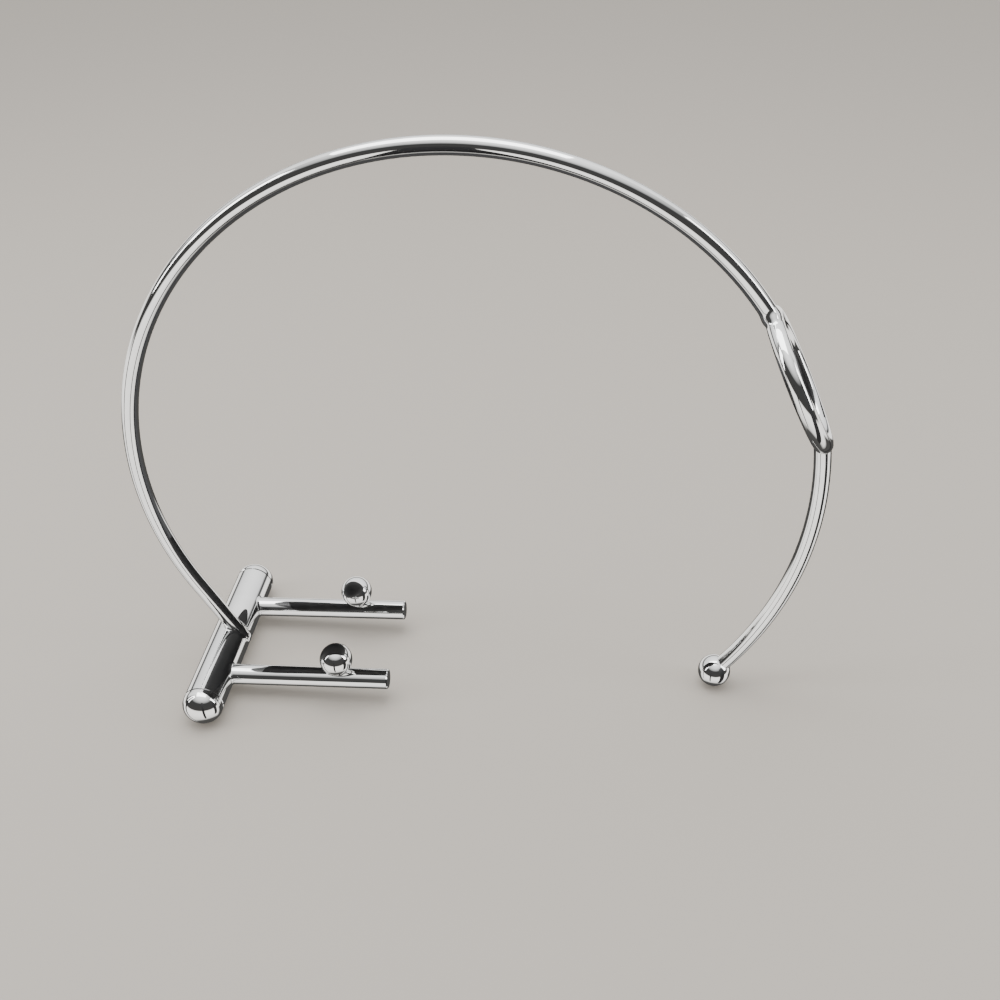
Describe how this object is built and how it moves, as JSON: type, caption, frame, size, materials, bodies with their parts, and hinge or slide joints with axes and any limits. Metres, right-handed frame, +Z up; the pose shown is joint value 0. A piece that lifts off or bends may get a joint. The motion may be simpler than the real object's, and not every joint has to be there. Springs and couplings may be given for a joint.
{
  "type": "bottle server",
  "caption": "Free-standing chromed wire server that cradles a wine bottle nose up: round hoop, tilted neck ring, curved leg on a ball foot, tubular crossbar and prongs with rest balls.",
  "frame": {"origin": "middle of the bounding box, at table level", "axes": "+X from the crossbar towards the ring and its leg, +Y towards the rear prong, +Z up"},
  "size_m": [0.32, 0.1102, 0.2745],
  "materials": {
    "chrome": "mirror polished",
    "weld": "polished, plated over",
    "steel": "plain, hidden inside the joints"
  },
  "bodies": {
    "root": {"crossbar_tube": "chrome", "front_end_cap": "chrome", "rear_end_cap": "chrome", "hoop_rod": "chrome", "neck_ring": "chrome", "leg_rod": "chrome", "foot_ball": "chrome", "front_prong": "chrome", "rear_prong": "chrome", "front_rest_ball": "chrome", "rear_rest_ball": "chrome", "hoop_weld": "weld", "ring_top_weld": "weld", "ring_foot_weld": "weld", "front_prong_weld": "weld", "rear_prong_weld": "weld", "front_rest_weld": "weld", "rear_rest_weld": "weld", "foot_stud": "steel", "front_rest_stud": "steel", "rear_rest_stud": "steel"}
  },
  "joints": []
}
